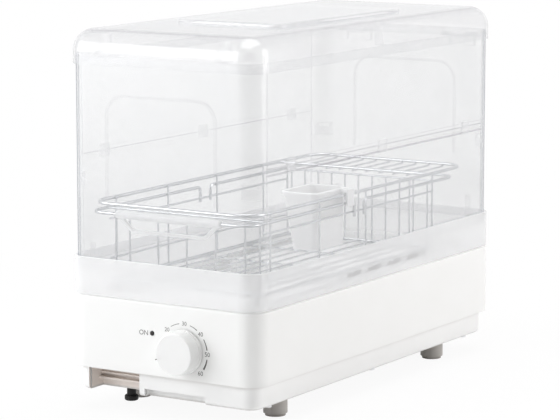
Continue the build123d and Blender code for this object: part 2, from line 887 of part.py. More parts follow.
# Lower ring of the hood, with a ledge inside that carries the walls
ring_inner_w = base_w - 2 * ring_t
ring_inner_d = base_d - 2 * ring_t
ring_inner_r = base_corner_r - ring_t
with BuildPart() as lower_ring:
    with BuildSketch(level(ring_z)):
        RectangleRounded(base_w, base_d, base_corner_r)
        RectangleRounded(ring_inner_w, ring_inner_d, ring_inner_r, mode=Mode.SUBTRACT)
    extrude(amount=ring_h)
    fillet(lower_ring.edges().group_by(Axis.Z)[-1], radius=ring_edge_r)
    with BuildSketch(level(wall_z - ring_ledge_t)):
        RectangleRounded(base_w - ring_t, base_d - ring_t, base_corner_r - ring_t / 2)
        RectangleRounded(
            ring_inner_w - 2 * ring_ledge_w,
            ring_inner_d - 2 * ring_ledge_w,
            ring_inner_r - ring_ledge_w,
            mode=Mode.SUBTRACT,
        )
    extrude(amount=ring_ledge_t)
save(lower_ring, "lower_ring")


# End walls: one plate each that turns both corners, with an arch raised on its outer face
def end_wall(sign):
    with BuildSketch(level(wall_z)) as outline:
        RectangleRounded(wall_w, wall_d, wall_corner_r)
        RectangleRounded(
            wall_w - 2 * wall_t, wall_d - 2 * wall_t, wall_corner_r - wall_t, mode=Mode.SUBTRACT
        )
        with Locations((0, sign * (wall_d / 2 - end_return / 2))):
            Rectangle(wall_w, end_return, mode=Mode.INTERSECT)
    extrude(outline.sketch, amount=wall_h)
    arch_foot = wall_z + arch_foot_up
    arch_top = wall_z + arch_top_up
    with BuildSketch(facing(sign * wall_d / 2)) as arch:
        with BuildLine():
            FilletPolyline(
                (-arch_half_w, arch_foot),
                (-arch_half_w, arch_top),
                (arch_half_w, arch_top),
                (arch_half_w, arch_foot),
                radius=arch_r,
            )
        trace(line_width=arch_line)
    extrude(arch.sketch, amount=-sign * arch_proud)


with BuildPart() as hood_front_wall:
    end_wall(-1)
save(hood_front_wall, "hood_front_wall")

lid_barrel_spans = [
    (sx * hinge_x - lid_barrel_l / 2, sx * hinge_x + lid_barrel_l / 2) for sx in (-1, 1)
]
wall_barrel_spans = []
for low, high in lid_barrel_spans:
    wall_barrel_spans.append((low - seat_gap - wall_barrel_l, low - seat_gap))
    wall_barrel_spans.append((high + seat_gap, high + seat_gap + wall_barrel_l))
with BuildPart() as hood_rear_wall:
    end_wall(1)
    for span in wall_barrel_spans:
        block(span, (wall_d / 2 - wall_t / 2, hinge_y), (hinge_z - hinge_arm_h, hinge_z - 2 * hinge_up))
        rods_x(span, [(hinge_y, hinge_z)], barrel_r)
        rods_x(span, [(hinge_y, hinge_z)], pin_r + run_gap, Mode.SUBTRACT)
save(hood_rear_wall, "hood_rear_wall")

# Long panels: an upper half just proud of a lower half, a rib along the seam between them
clip_places = (-clip_y, 0, clip_y)
rib_spans = [
    (-panel_half_l, -clip_y - clip_l / 2),
    (-clip_y + clip_l / 2, -clip_l / 2),
    (clip_l / 2, clip_y - clip_l / 2),
    (clip_y + clip_l / 2, panel_half_l),
]
panel_span = (-panel_half_l, panel_half_l)


def side_block(sign, x, y, z, mode=Mode.ADD):
    block(tuple(sorted((sign * x[0], sign * x[1]))), y, z, mode)


for side, sign in (("near", 1), ("far", -1)):
    with BuildPart() as upper_panel:
        side_block(sign, (upper_face - wall_t, upper_face), panel_span, (fold_z + fit_gap, wall_top))
        for span in rib_spans:
            rib_z = (fold_z + fit_gap, fold_z + fit_gap + rib_h)
            side_block(sign, (upper_face - wall_t, upper_face + rib_proud), span, rib_z)
    save(upper_panel, f"{side}_upper_panel")

    with BuildPart() as lower_panel:
        side_block(sign, (lower_face - wall_t, lower_face), panel_span, (wall_z, fold_z))
        for span in rib_spans:
            rib_z = (fold_z - rib_h, fold_z)
            side_block(sign, (lower_face - wall_t, lower_face + rib_proud), span, rib_z)
    save(lower_panel, f"{side}_lower_panel")

    # Three clips that pin the two halves together
    with BuildPart() as hinge_clips:
        for y in clip_places:
            clip_span = (y - clip_l / 2, y + clip_l / 2)
            clip_top = (fold_z + fit_gap, fold_z + clip_h / 2)
            clip_foot = (fold_z - clip_h / 2, fold_z + fit_gap)
            side_block(sign, (upper_face, upper_face + clip_proud), clip_span, clip_top)
            side_block(sign, (lower_face, upper_face + clip_proud), clip_span, clip_foot)
    save(hinge_clips, f"{side}_hinge_clips")

# Four latch plates curved into the corners of the end walls, each with a slot across it
latch_z = wall_z + latch_up
latch_x = base_w / 2 - latch_in
latch_y = base_d / 2 - latch_end_in
inner_w = wall_w - 2 * wall_t
inner_d = wall_d - 2 * wall_t
inner_r = wall_corner_r - wall_t
with BuildPart() as corner_latches:
    with BuildSketch(level(latch_z - latch_h / 2)):
        RectangleRounded(inner_w, inner_d, inner_r)
        RectangleRounded(
            inner_w - 2 * latch_t, inner_d - 2 * latch_t, inner_r - latch_t, mode=Mode.SUBTRACT
        )
        Rectangle(2 * latch_x, base_d, mode=Mode.SUBTRACT)
        Rectangle(base_w, 2 * latch_y, mode=Mode.SUBTRACT)
    extrude(amount=latch_h)
    slot_mid = latch_z + latch_slot_up
    for sx in (-1, 1):
        side_block(
            sx,
            (base_w / 2 - latch_slot_out, base_w / 2 - latch_slot_in),
            (-base_d / 2, base_d / 2),
            (slot_mid - latch_slot_h / 2, slot_mid + latch_slot_h / 2),
            Mode.SUBTRACT,
        )
save(corner_latches, "corner_latches")

# Locating pegs that stand on the ring's ledge inside the end walls
with BuildPart() as ring_pegs:
    peg_z = (wall_z, wall_z + peg_h)
    end_inner = wall_d / 2 - wall_t
    for sx in (-1, 1):
        for sy in (-1, 1):
            peg_depth = sorted((sy * end_inner, sy * (end_inner - peg_t)))
            block((sx * peg_x - peg_w / 2, sx * peg_x + peg_w / 2), peg_depth, peg_z)
save(ring_pegs, "ring_pegs")

# Lid: a deep cover with a rolled edge, a raised field on top and stops that sit over the walls
with BuildPart() as lid_cavity:
    with BuildSketch(level(lid_z - overrun)):
        RectangleRounded(base_w - 2 * lid_t, base_d - 2 * lid_t, lid_corner_r - lid_t)
    extrude(amount=lid_h + overrun - lid_t)
    fillet(lid_cavity.edges().group_by(Axis.Z)[-1], radius=lid_roll_r - lid_t)
    with BuildSketch(level(lid_top - lid_t - overrun)):
        with Locations((0, field_y)):
            RectangleRounded(field_w - 2 * lid_t, field_d - 2 * lid_t, field_r - lid_t)
    extrude(amount=overrun + field_h)
    stop_z = (wall_top + seat_gap, lid_top)
    for sx in (-1, 1):
        stop_span = (sx * stop_x - stop_w / 2, sx * stop_x + stop_w / 2)
        block(stop_span, (shell_front, shell_front + stop_depth), stop_z, Mode.SUBTRACT)
        side_stop = (stop_y - stop_w / 2, stop_y + stop_w / 2)
        side_block(sx, (base_w / 2 - stop_depth, base_w / 2), side_stop, stop_z, Mode.SUBTRACT)

with BuildPart() as lid:
    with BuildSketch(level(lid_z)):
        RectangleRounded(base_w, base_d, lid_corner_r)
    extrude(amount=lid_h)
    fillet(lid.edges().group_by(Axis.Z)[-1], radius=lid_roll_r)
    with BuildSketch(level(lid_top)):
        with Locations((0, field_y)):
            RectangleRounded(field_w, field_d, field_r)
    extrude(amount=field_h)
    fillet(lid.edges().group_by(Axis.Z)[-1], radius=field_edge_r)
    add(lid_cavity.part, mode=Mode.SUBTRACT)
    for span in lid_barrel_spans:
        block(span, (shell_rear - lid_t / 2, hinge_y), (hinge_z, hinge_z + barrel_r))
        rods_x(span, [(hinge_y, hinge_z)], barrel_r)
        rods_x(span, [(hinge_y, hinge_z)], pin_r + run_gap, Mode.SUBTRACT)
save(lid, "lid")

with BuildPart() as lid_hinge_pins:
    for low, high in lid_barrel_spans:
        reach = seat_gap + wall_barrel_l
        rods_x((low - reach, high + reach), [(hinge_y, hinge_z)], pin_r)
save(lid_hinge_pins, "lid_hinge_pins")

# Rack rim: one closed loop of heavy wire
with BuildPart() as rack_rim:
    bent_rod(
        [
            (rim_x, rim_front, rack_rim_z),
            (rim_x, rim_rear, rack_rim_z),
            (-rim_x, rim_rear, rack_rim_z),
            (-rim_x, rim_front, rack_rim_z),
        ],
        rim_corner_r,
        rim_wire_r,
        closed=True,
    )
save(rack_rim, "rack_rim")

# Rack floor: wires along the rack on cross wires, with four legs down to the basin
floor_xs = evenly(-end_half, end_half, floor_count)
with BuildPart() as rack_floor:
    floor_places = [(x, floor_z) for x in floor_xs]
    floor_end_in = end_wire_r + weld_gap
    rods_y((grid_front + floor_end_in, grid_rear - floor_end_in), floor_places, floor_wire_r)
    cross_places = [(y, cross_z) for y in evenly(grid_front, grid_rear, floor_cross_count)]
    rods_x((-grid_x, grid_x), cross_places, floor_wire_r)
    rack_leg_places = [(sx * rack_leg_x, y) for sx in (-1, 1) for y in (grid_front, grid_rear)]
    rods_z((basin_floor + seat_gap, cross_z), rack_leg_places, rack_leg_r)
save(rack_floor, "rack_floor")

# Rack sides: upright wires welded inside the rim, with a wire at the floor and two above it
side_ys = evenly(grid_front + side_front_in, grid_rear - side_rear_in, side_count) + [grid_rear]
for side, sign in (("near", 1), ("far", -1)):
    with BuildPart() as rack_side:
        uprights = [(sign * grid_x, y) for y in side_ys]
        rods_z((side_floor_z, grid_top_z), uprights, grid_wire_r)
        side_lines = [(sign * grid_x, z) for z in (side_floor_z, low_wire_z, mid_wire_z)]
        side_reach = (grid_front - end_wire_r, grid_rear + end_wire_r)
        rods_y(side_reach, side_lines, side_wire_r)
    save(rack_side, f"rack_{side}_side")

# Rack ends: uprights over every floor wire at the rear and every second one at the front
front_xs = [floor_xs[0]] + floor_xs[1::2] + [floor_xs[-1]]
for end, y, xs in (("front", grid_front, front_xs), ("rear", grid_rear, floor_xs)):
    with BuildPart() as rack_end:
        uprights = [(x, y) for x in xs]
        rods_z((end_floor_z, handle_z), uprights, grid_wire_r)
        end_lines = [(y, end_floor_z), (y, handle_z)]
        rods_x((-grid_end_x, grid_end_x), end_lines, end_wire_r)
    save(rack_end, f"rack_{end}_end")

# Wire handles: a bar at each end, bent back along the sides and down at the rack's middle
for end, bar_y, tail_y in (
    ("front", handle_front, handle_front_end),
    ("rear", handle_rear, handle_rear_end),
):
    with BuildPart() as handle_wire:
        bent_rod(
            [
                (handle_x, tail_y, handle_z - handle_drop),
                (handle_x, tail_y, handle_z),
                (handle_x, bar_y, handle_z),
                (-handle_x, bar_y, handle_z),
                (-handle_x, tail_y, handle_z),
                (-handle_x, tail_y, handle_z - handle_drop),
            ],
            [handle_bend_r, handle_corner_r, handle_corner_r, handle_bend_r],
            handle_wire_r,
        )
    save(handle_wire, f"rack_{end}_handle")

# White grip moulded round the front bar, with a thin loop hanging under it
with BuildPart() as front_grip:
    rods_x((-grip_l / 2, grip_l / 2), [(handle_front, handle_z)], grip_r)
    fillet(front_grip.edges(), radius=grip_edge_r)
    with BuildSketch(facing(handle_front)):
        with BuildLine():
            FilletPolyline(
                (-loop_half, handle_z),
                (-loop_half + loop_in, handle_z - loop_drop),
                (loop_half - loop_in, handle_z - loop_drop),
                (loop_half, handle_z),
                radius=loop_r,
            )
        trace(line_width=loop_w)
    extrude(amount=loop_w / 2, both=True)
    rods_x(
        (-grip_l / 2, grip_l / 2),
        [(handle_front, handle_z)],
        handle_wire_r + weld_gap,
        Mode.SUBTRACT,
    )
save(front_grip, "front_grip")

# Slatted shelf behind the rack's rear end: slats under a cross wire and the rim's rear wire
slat_z = rack_rim_z - rim_wire_r - slat_wire_r - weld_gap
with BuildPart() as rack_shelf:
    shelf_end = rim_x - rim_wire_r - weld_gap
    rods_x((-shelf_end, shelf_end), [(shelf_front, rack_rim_z - slat_weld)], shelf_wire_r)
    slat_half = rim_x - slat_end_in
    slats = [(x, slat_z) for x in evenly(-slat_half, slat_half, slat_count)]
    rods_y((shelf_front, rim_rear), slats, slat_wire_r)
save(rack_shelf, "rack_shelf")

# Cutlery holder: a cup that widens to a thick lip, with one broad hook over the rim
holder_out = grid_x - grid_wire_r - holder_clear
holder_mid = holder_out - holder_w / 2
holder_top_mid = holder_out - holder_top_w / 2
holder_top = rack_rim_z + rim_wire_r + seat_gap + hook_top_t
holder_z = holder_top - holder_h
with BuildPart() as holder_cavity:
    with BuildSketch(level(holder_z + holder_t)):
        with Locations((holder_mid, holder_y)):
            RectangleRounded(
                holder_w - 2 * holder_t, holder_l - 2 * holder_t, holder_corner_r - holder_t
            )
    with BuildSketch(level(holder_top)):
        with Locations((holder_top_mid, holder_y)):
            RectangleRounded(
                holder_top_w - 2 * holder_t, holder_top_l - 2 * holder_t, holder_corner_r - holder_t
            )
    loft()

with BuildPart() as cutlery_holder:
    with BuildSketch(level(holder_z)):
        with Locations((holder_mid, holder_y)):
            RectangleRounded(holder_w, holder_l, holder_corner_r)
    with BuildSketch(level(holder_top)):
        with Locations((holder_top_mid, holder_y)):
            RectangleRounded(holder_top_w, holder_top_l, holder_corner_r)
    loft()
    with BuildSketch(level(holder_top - holder_lip_t)):
        with Locations((holder_top_mid, holder_y)):
            RectangleRounded(
                holder_top_w + 2 * holder_lip,
                holder_top_l + 2 * holder_lip,
                holder_corner_r + holder_lip,
            )
    extrude(amount=holder_lip_t)
    fillet(cutlery_holder.edges().group_by(Axis.Z)[-1], radius=holder_lip_r)
    hook_in = rim_x + rim_wire_r + seat_gap
    hook_y = holder_y + holder_top_l / 2 - hook_rear_in
    hook_span = (hook_y, hook_y + hook_l)
    block((holder_out, hook_in + hook_t), hook_span, (holder_top - hook_top_t, holder_top))
    block((hook_in, hook_in + hook_t), hook_span, (holder_top - hook_drop, holder_top))
    add(holder_cavity.part, mode=Mode.SUBTRACT)
    slot_start = hook_y + (hook_l - hook_slot_l) / 2
    block(
        (hook_in - hook_slot_w, hook_in),
        (slot_start, slot_start + hook_slot_l),
        (holder_top - hook_slot_depth, holder_top),
        Mode.SUBTRACT,
    )
    with BuildSketch(level(holder_z)):
        with Locations((holder_mid, holder_y)):
            with GridLocations(0, holder_drain_pitch, 1, holder_drain_count):
                Circle(holder_drain_r)
    extrude(amount=holder_t, mode=Mode.SUBTRACT)
save(cutlery_holder, "cutlery_holder")
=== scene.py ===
import math
import bpy
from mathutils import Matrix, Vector


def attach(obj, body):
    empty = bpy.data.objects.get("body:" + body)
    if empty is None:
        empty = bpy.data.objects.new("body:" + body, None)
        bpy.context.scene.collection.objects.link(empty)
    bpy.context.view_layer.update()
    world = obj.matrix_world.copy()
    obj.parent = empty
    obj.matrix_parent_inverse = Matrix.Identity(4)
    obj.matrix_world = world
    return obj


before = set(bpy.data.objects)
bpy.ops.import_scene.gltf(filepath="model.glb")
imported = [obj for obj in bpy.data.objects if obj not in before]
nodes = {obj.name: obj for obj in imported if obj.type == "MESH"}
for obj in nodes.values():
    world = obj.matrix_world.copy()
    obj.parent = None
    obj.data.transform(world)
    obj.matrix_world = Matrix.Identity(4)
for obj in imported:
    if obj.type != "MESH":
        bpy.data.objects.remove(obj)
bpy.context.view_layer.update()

# The view, floor and light of the photograph: a long lens a little above the lid, a white sweep
# under the dryer, a soft box at the left front, one at the right rear and one overhead.
# The front and the near side are lit from either flank, so the corner between them is darker.


def linear(code, alpha=1.0):
    # The sRGB curve, from a hex code to linear light
    parts = [int(code[i:i + 2], 16) / 255 for i in (1, 3, 5)]
    lit = [c / 12.92 if c <= 0.04045 else ((c + 0.055) / 1.055) ** 2.4 for c in parts]
    return (*lit, alpha)


def add_node(tree, kind, settings=None, links=None):
    made = tree.nodes.new(kind)
    for name, value in (settings or {}).items():
        if isinstance(name, int) or name in made.inputs:
            made.inputs[name].default_value = value
        else:
            setattr(made, name, value)
    for name, source in (links or {}).items():
        tree.links.new(source, made.inputs[name])
    return made


def calc(tree, operation, *terms):
    made = tree.nodes.new("ShaderNodeMath")
    made.operation = operation
    for socket, term in zip(made.inputs, terms):
        if isinstance(term, (int, float)):
            socket.default_value = term
        else:
            tree.links.new(term, socket)
    return made.outputs[0]


def blank_tree(owner):
    owner.use_nodes = True
    owner.node_tree.nodes.clear()
    return owner.node_tree


def seen_rays(tree):
    path = add_node(tree, "ShaderNodeLightPath").outputs
    direct = calc(tree, "MAXIMUM", path["Is Camera Ray"], path["Is Glossy Ray"])
    return calc(tree, "MAXIMUM", direct, path["Is Transmission Ray"])


image_width = 560
focal_pixels = 2625.55
camera_data = bpy.data.cameras.new("long_lens")
camera_data.sensor_width = 36
camera_data.lens = camera_data.sensor_width * focal_pixels / image_width
camera_data.clip_end = 50
camera = bpy.data.objects.new("camera", camera_data)
sight_line = Vector((-0.5231, 0.8384, -0.1528))
camera.location = (1.5297, -2.4692, 0.63965)
camera.rotation_euler = sight_line.to_track_quat("-Z", "Y").to_euler()
bpy.context.scene.collection.objects.link(camera)
bpy.context.scene.camera = camera
bpy.context.scene.view_settings.view_transform = "Standard"
# A line of sight can cross the lid, both long walls and the hinge, two faces each
bpy.context.scene.cycles.transparent_max_bounces = 40

world = bpy.data.worlds.new("studio")
bpy.context.scene.world = world
tree = blank_tree(world)
fill_level = 0.28
fill = add_node(tree, "ShaderNodeBackground", {"Color": linear("#ffffff"), "Strength": fill_level})
# Behind the camera the room is dim, which only the gloss shows
dim_from, dim_full, dim_share = 0.75, 0.95, 0.8
look_out = add_node(tree, "ShaderNodeTexCoord").outputs["Generated"]
behind = add_node(tree, "ShaderNodeVectorMath", {"operation": "DOT_PRODUCT", 1: -sight_line},
                  {0: look_out}).outputs["Value"]
dim = add_node(tree, "ShaderNodeMapRange", {1: dim_from, 2: dim_full, 3: 0.0, 4: dim_share}, {0: behind})
dim = calc(tree, "MULTIPLY", dim.outputs[0], add_node(tree, "ShaderNodeLightPath").outputs["Is Glossy Ray"])
shown = add_node(tree, "ShaderNodeBackground", {"Color": linear("#ffffff")},
                 {"Strength": calc(tree, "SUBTRACT", 1.0, dim)})
both = add_node(tree, "ShaderNodeMixShader", None,
                {0: seen_rays(tree), 1: fill.outputs[0], 2: shown.outputs[0]})
add_node(tree, "ShaderNodeOutputWorld", None, {"Surface": both.outputs[0]})

lamp_aim = Vector((0, 0, 0.2))
for name, place, size, power, tone in (
    ("left_box", (-1.45, -1.45, 0.86), (1.6, 1.4), 28.5, "#fcfdff"),
    ("right_box", (1.7, 1.0, 0.8), (1.4, 1.6), 18.4, "#fffdfd"),
    ("top_box", (0.0, 0.0, 2.2), (1.8, 2.4), 44, "#ffffff"),
):
    lamp = bpy.data.lights.new(name, "AREA")
    lamp.shape = "RECTANGLE"
    lamp.size, lamp.size_y = size
    lamp.energy = power
    lamp.color = linear(tone)[:3]
    box = bpy.data.objects.new(name, lamp)
    box.location = place
    box.rotation_euler = (lamp_aim - Vector(place)).to_track_quat("-Z", "Y").to_euler()
    bpy.context.scene.collection.objects.link(box)

bpy.ops.object.select_all(action="DESELECT")
floor_size = 30
bpy.ops.mesh.primitive_plane_add(size=floor_size, location=(0, 0, 0))
floor = bpy.context.object
floor.name = "floor"
floor_paper = bpy.data.materials.new("white_paper_sweep")
tree = blank_tree(floor_paper)
# The paper is lit to white away from the dryer, and a trace of its shadow shows close to it
shadow_end, white_from, shadow_lift = 0.35, 0.9, 0.93
where = add_node(tree, "ShaderNodeTexCoord").outputs["Object"]
away = add_node(tree, "ShaderNodeVectorMath", {"operation": "LENGTH"}, {0: where}).outputs["Value"]
lift = add_node(tree, "ShaderNodeMapRange", {1: shadow_end, 2: white_from, 3: shadow_lift, 4: 1.0},
                {0: away}).outputs[0]
paper = add_node(tree, "ShaderNodeBsdfDiffuse", {"Color": linear("#eaeaea")})
glow = add_node(tree, "ShaderNodeEmission", {"Color": linear("#ffffff"), "Strength": 1.0})
both = add_node(tree, "ShaderNodeMixShader", None,
                {0: calc(tree, "MULTIPLY", lift, seen_rays(tree)), 1: paper.outputs[0], 2: glow.outputs[0]})
add_node(tree, "ShaderNodeOutputMaterial", None, {"Surface": both.outputs[0]})
floor.data.materials.append(floor_paper)

# Base: an outer shell and a lower pan, injection moulded in white ABS and screwed together.
# The moulds are finely spark-eroded, which leaves a soft satin sheen with no sharp highlight.
# The pan is drawn warmer inside its drain recess and greyer along its top and bottom edges; both are painted
# shade.


def dress(material, *names):
    for name in names:
        nodes[name].data.materials.clear()
        nodes[name].data.materials.append(material)


def within(tree, value, low, high):
    # One inside a span and nothing outside it
    over = calc(tree, "GREATER_THAN", value, low)
    return calc(tree, "MULTIPLY", over, calc(tree, "LESS_THAN", value, high))


mm_per_m = 1000


def moulded(name, light, dark, rough, grain_mm, depth_mm, gloss=0.5, patch=None, shade=None):
    # Two close tones drift into each other, as the melt cools unevenly, and a fine grain
    # breaks up the sheen. The grain is drawn coarser than the real one so that it shows.
    # A patch is a box of the mesh, in metres, with its own tone; here it carries painted shade. Shade is
    # painted shade: a tone with spans of height over which it comes in, each with its greatest share.
    drift_mm, rough_spread, relief_share = 60, 0.14, 0.3
    made = bpy.data.materials.new(name)
    tree = blank_tree(made)
    where = add_node(tree, "ShaderNodeTexCoord").outputs["Object"]
    drift = add_node(tree, "ShaderNodeTexNoise", {"Scale": mm_per_m / drift_mm, "Detail": 3.0},
                     {"Vector": where})
    grain = add_node(tree, "ShaderNodeTexNoise", {"Scale": mm_per_m / grain_mm, "Detail": 2.0},
                     {"Vector": where})
    tint = add_node(tree, "ShaderNodeMix", {"data_type": "RGBA", 6: linear(light), 7: linear(dark)},
                    {0: drift.outputs["Fac"]})
    if patch:
        tone, spans = patch
        axes = add_node(tree, "ShaderNodeSeparateXYZ", None, {0: where}).outputs
        inside = [within(tree, axis, *span) for axis, span in zip(axes, spans)]
        inside = calc(tree, "MULTIPLY", calc(tree, "MULTIPLY", inside[0], inside[1]), inside[2])
        tint = add_node(tree, "ShaderNodeMix", {"data_type": "RGBA", 7: linear(tone)},
                        {0: inside, 6: tint.outputs[2]})
    if shade:
        tone, spans = shade
        height = add_node(tree, "ShaderNodeSeparateXYZ", None, {0: where}).outputs[2]
        for start, full, share in spans:
            shaded = add_node(tree, "ShaderNodeMapRange", {1: start, 2: full, 3: 0.0, 4: share}, {0: height})
            tint = add_node(tree, "ShaderNodeMix", {"data_type": "RGBA", 7: linear(tone)},
                            {0: shaded.outputs[0], 6: tint.outputs[2]})
    smoother, rougher = rough * (1 - rough_spread), rough * (1 + rough_spread)
    shine = add_node(tree, "ShaderNodeMapRange", {3: smoother, 4: rougher}, {0: grain.outputs["Fac"]})
    relief = add_node(tree, "ShaderNodeBump", {"Strength": relief_share, "Distance": depth_mm / mm_per_m},
                      {"Height": grain.outputs["Fac"]})
    skin = add_node(tree, "ShaderNodeBsdfPrincipled", {"IOR": 1.5, "Specular IOR Level": gloss},
                    {"Base Color": tint.outputs[2], "Roughness": shine.outputs[0],
                     "Normal": relief.outputs[0]})
    add_node(tree, "ShaderNodeOutputMaterial", None, {"Surface": skin.outputs[0]})
    return made


white_abs = moulded("satin_white_abs", "#f5f5f4", "#f1f1ef", 0.42, 0.9, 0.05)
dress(white_abs, "base_shell")
# Painted warm shade inside the drain recess
pan_recess_painted_shade = ((-0.0976, -0.0319), (-0.2464, -0.22), (0.0, 0.0451))
# Painted shade along the pan's top edge under the shell's overhang, and along its bottom rounding
pan_edge_painted_shade = (0.0425, 0.0462, 0.6), (0.0238, 0.0213, 1.0)
pan_abs = moulded("satin_white_abs_pan", "#f9f9f8", "#f4f4f3", 0.42, 0.9, 0.05,
                  patch=("#f3eae3", pan_recess_painted_shade), shade=("#cfccc9", pan_edge_painted_shade))
dress(pan_abs, "bottom_pan")

# Feet: round posts moulded in ABS, each with a pad of elastomer under it that keeps the dryer from sliding.
# Both are drawn grey as painted shade, since they stand in the shadow under the pan.
# Painted shade: the feet and their pads are drawn grey for the shadow they stand in
foot_painted_shade_abs = moulded("foot_abs_painted_shade", "#c0bcb8", "#b6b2ad", 0.5, 0.9, 0.05)
dress(foot_painted_shade_abs, "feet")
pad_painted_shade_rubber = moulded("elastomer_pad_painted_shade", "#bdb9b4", "#b1ada8", 0.75, 1.2, 0.1, 0.3)
dress(pad_painted_shade_rubber, "foot_pads")

# Screws, brackets, shafts and the sheet-metal duct: zinc-plated steel, rolled or turned,
# with a faint streak along one direction. The screws are plated bright, and the heater's tube
# is tinted by its heat.


def plated(name, tone, rough, streak_mm):
    # The streak is drawn out along the height
    draw_out, rough_spread = (1.0, 1.0, 0.08), 0.25
    made = bpy.data.materials.new(name)
    tree = blank_tree(made)
    where = add_node(tree, "ShaderNodeTexCoord").outputs["Object"]
    drawn = add_node(tree, "ShaderNodeMapping", {"Scale": draw_out}, {"Vector": where})
    streak = add_node(tree, "ShaderNodeTexNoise", {"Scale": mm_per_m / streak_mm, "Detail": 3.0},
                      {"Vector": drawn.outputs[0]})
    smoother, rougher = rough * (1 - rough_spread), rough * (1 + rough_spread)
    shine = add_node(tree, "ShaderNodeMapRange", {3: smoother, 4: rougher}, {0: streak.outputs["Fac"]})
    skin = add_node(tree, "ShaderNodeBsdfPrincipled", {"Base Color": linear(tone), "Metallic": 1.0},
                    {"Roughness": shine.outputs[0]})
    add_node(tree, "ShaderNodeOutputMaterial", None, {"Surface": skin.outputs[0]})
    return made


zinc = plated("zinc_plated_steel", "#b9bbbd", 0.36, 2.0)
dress(zinc, "timer_nut", "timer_shaft", "motor_bracket", "motor_body", "motor_shaft",
      "heater_duct", "thermal_fuse")
bright_zinc = plated("bright_zinc_screw_heads", "#e2e3e4", 0.3, 2.0)
dress(bright_zinc, "base_screws")
heated = plated("heat_tinted_steel_tube", "#8f8578", 0.42, 3.0)
dress(heated, "heater_rod")

# Parts hidden in the base: blower, lamp holder, drain pipe and filter frame moulded in light grey
# polypropylene; timer case, thermostat, terminals and filter mesh in black plastic.
grey_pp = moulded("light_grey_polypropylene", "#c3c6c8", "#b8bbbe", 0.5, 1.0, 0.06)
dress(grey_pp, "fan_housing", "fan_wheel", "lamp_holder", "filter_frame", "drain_pipe")
phenolic = moulded("black_phenolic", "#232325", "#1b1b1d", 0.45, 1.0, 0.06)
dress(phenolic, "timer_body", "thermostat", "terminal_block", "filter_mesh")

# Drain plug and cord gland: soft black rubber, moulded, with a dull bloom. Both are pushed
# into their holes.
black_rubber = moulded("black_moulded_rubber", "#1d1c1c", "#141414", 0.62, 1.1, 0.1, 0.35)
dress(black_rubber, "drain_plug", "cord_gland")

# Drip basin and warm-air outlet: white polypropylene trays under the rack. The outlet's
# vents open on the dark duct below.
tray_pp = moulded("white_tray_polypropylene", "#f8f8f8", "#f2f2f2", 0.4, 1.0, 0.05)
dress(tray_pp, "drip_basin", "air_outlet")

# Timer knob: white ABS from a polished mould, so it is smoother than the shell it turns on.
# It is pushed onto the timer's shaft.
knob_abs = moulded("polished_white_abs", "#f2f2f1", "#eeeeed", 0.26, 1.2, 0.02)
dress(knob_abs, "timer_knob")

# Lamp: a small smoked lens, dark until the timer is turned on. It shows through the shell's
# front and is held by a block behind it.
lens = moulded("smoked_lamp_lens", "#2a2526", "#241f20", 0.12, 1.0, 0.01)
dress(lens, "lamp_lens")

# Dial print: minutes round the knob, arcs between them that thicken towards the long times,
# a tick at the left and a label by the lamp, pad printed in dark grey ink on the shell.
shell_front, ink_t = -0.2542, 0.00006
front_y = shell_front - ink_t
dial_x, dial_z, dial_r = 0.0296, 0.0772, 0.0296


def printed_text(words, x, z, height):
    # The letter height is a share of the type's own size
    letter_share = 0.69
    bpy.ops.object.select_all(action="DESELECT")
    bpy.ops.object.text_add(location=(x, front_y, z), rotation=(math.radians(90), 0, 0))
    made = bpy.context.object
    made.data.body = words
    made.data.align_x = "CENTER"
    made.data.align_y = "CENTER"
    made.data.size = height / letter_share
    made.data.resolution_u = 4
    bpy.ops.object.convert(target="MESH")
    bpy.ops.object.transform_apply(location=True, rotation=True, scale=True)
    return bpy.context.object


def printed_band(steps, edge):
    # A strip of ink; edge(share) gives its inner and outer point, each as (x, z)
    bpy.ops.object.select_all(action="DESELECT")
    bpy.ops.mesh.primitive_grid_add(x_subdivisions=steps, y_subdivisions=1, size=2)
    made = bpy.context.object
    for vertex in made.data.vertices:
        inner, outer = edge((vertex.co.x + 1) / 2)
        x, z = outer if vertex.co.y > 0 else inner
        vertex.co = (x, front_y, z)
    return made


def dial_point(turn, radius):
    return dial_x + radius * math.cos(math.radians(turn)), dial_z + radius * math.sin(math.radians(turn))


def arc_edge(first, last, thin, painted_line_share):
    def edge(share):
        turn = first + (last - first) * share
        half = (thin + (painted_line_share - thin) * share) / 2
        return [dial_point(turn, radius) for radius in (dial_r - half, dial_r + half)]
    return edge


minutes = ("20", 134, 0.0042), ("30", 88, 0.0042), ("40", 44, 0.0044), ("50", 0, 0.0046), ("60", -45, 0.0046)
marks = [printed_text(words, *dial_point(turn, dial_r), tall) for words, turn, tall in minutes]
for first, last, thin, painted_line_share in (
    (122, 100, 0.0005, 0.0006),
    (74, 55, 0.0006, 0.0008),
    (32, 9, 0.0008, 0.0013),
    (-10, -33, 0.0013, 0.002),
):
    marks.append(printed_band(16, arc_edge(first, last, thin, painted_line_share)))
tick_turn, tick_near, tick_far, tick_half = 199, 0.034, 0.038, 0.0005


def tick_edge(share):
    x, z = dial_point(tick_turn, tick_near + (tick_far - tick_near) * share)
    return (x, z - tick_half), (x, z + tick_half)


marks.append(printed_band(2, tick_edge))
label_x, label_z, label_h = -0.0206, 0.0922, 0.0052
marks.append(printed_text("ON", label_x, label_z, label_h))
bpy.ops.object.select_all(action="DESELECT")
for mark in marks:
    mark.select_set(True)
bpy.context.view_layer.objects.active = marks[0]
bpy.ops.object.join()
dial_print = bpy.context.object
dial_print.name = "dial_print"
ink = moulded("dark_grey_pad_print", "#5f5c59", "#53504d", 0.5, 0.6, 0.01)
dial_print.data.materials.clear()
dial_print.data.materials.append(ink)
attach(dial_print, "base")

